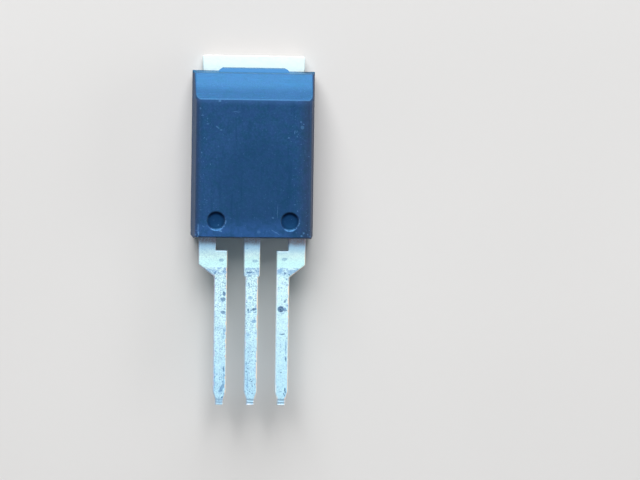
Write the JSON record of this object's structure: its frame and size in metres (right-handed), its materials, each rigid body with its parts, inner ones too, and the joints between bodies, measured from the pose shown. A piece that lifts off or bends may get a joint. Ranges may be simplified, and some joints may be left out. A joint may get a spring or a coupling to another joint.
{
  "type": "power transistor",
  "caption": "Moulded clip-mount power transistor with a bevelled case, an exposed heat spreader with a short tab, and flat leads in line.",
  "frame": {"origin": "centre of the heat spreader's exposed face, with its tab", "axes": "+Z out of the front face, +Y towards the tab, leads towards -Y, +X to the right seen from the front with the leads down"},
  "size_m": [0.01, 0.0287, 0.0045],
  "materials": {
    "mould_compound": "matte",
    "plated_copper": "satin",
    "solder": "matte",
    "silicon": "polished",
    "bond_wire": "satin"
  },
  "bodies": {
    "root": {"moulded_case": "mould_compound", "drain_header": "plated_copper", "gate_lead": "plated_copper", "source_lead": "plated_copper", "die_attach_solder": "solder", "silicon_die": "silicon", "gate_bond_wire": "bond_wire", "source_bond_wire_1": "bond_wire", "source_bond_wire_2": "bond_wire", "source_bond_wire_3": "bond_wire", "source_bond_wire_4": "bond_wire"}
  },
  "joints": []
}
